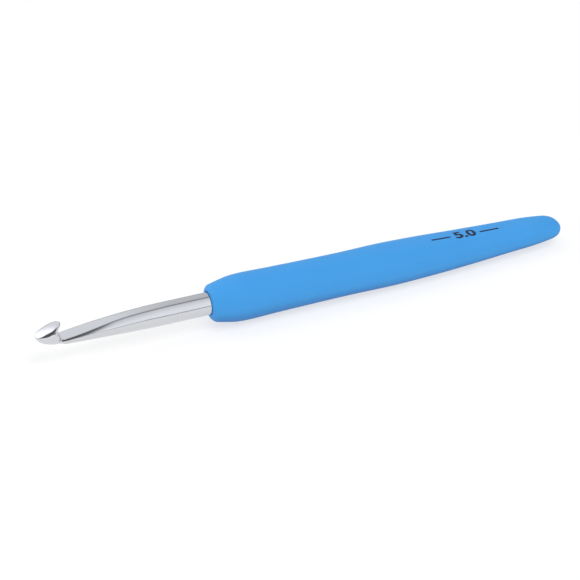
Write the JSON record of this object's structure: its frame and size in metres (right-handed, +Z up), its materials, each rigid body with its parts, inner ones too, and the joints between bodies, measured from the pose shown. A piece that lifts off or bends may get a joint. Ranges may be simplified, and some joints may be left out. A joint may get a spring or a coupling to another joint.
{
  "type": "crochet hook",
  "caption": "Crochet hook with a polished aluminium head, throat and shaft, and a soft contoured rubber grip moulded over a rigid core.",
  "frame": {"origin": "centre of the bounding box's underside, on the table the hook lies on", "axes": "+X along the hook from the tip to the tail of the grip, +Z up with the throat facing +Z, +Y to the side"},
  "size_m": [0.1254, 0.0116, 0.0103],
  "materials": {
    "polished_aluminium": "polished, with fine lengthwise lines",
    "core_plastic": "moulded",
    "grip_rubber": "soft matt",
    "print_ink": "pad-printed ink"
  },
  "bodies": {
    "root": {"hook_shaft": "polished_aluminium", "handle_core": "core_plastic", "soft_grip": "grip_rubber"}
  },
  "joints": []
}
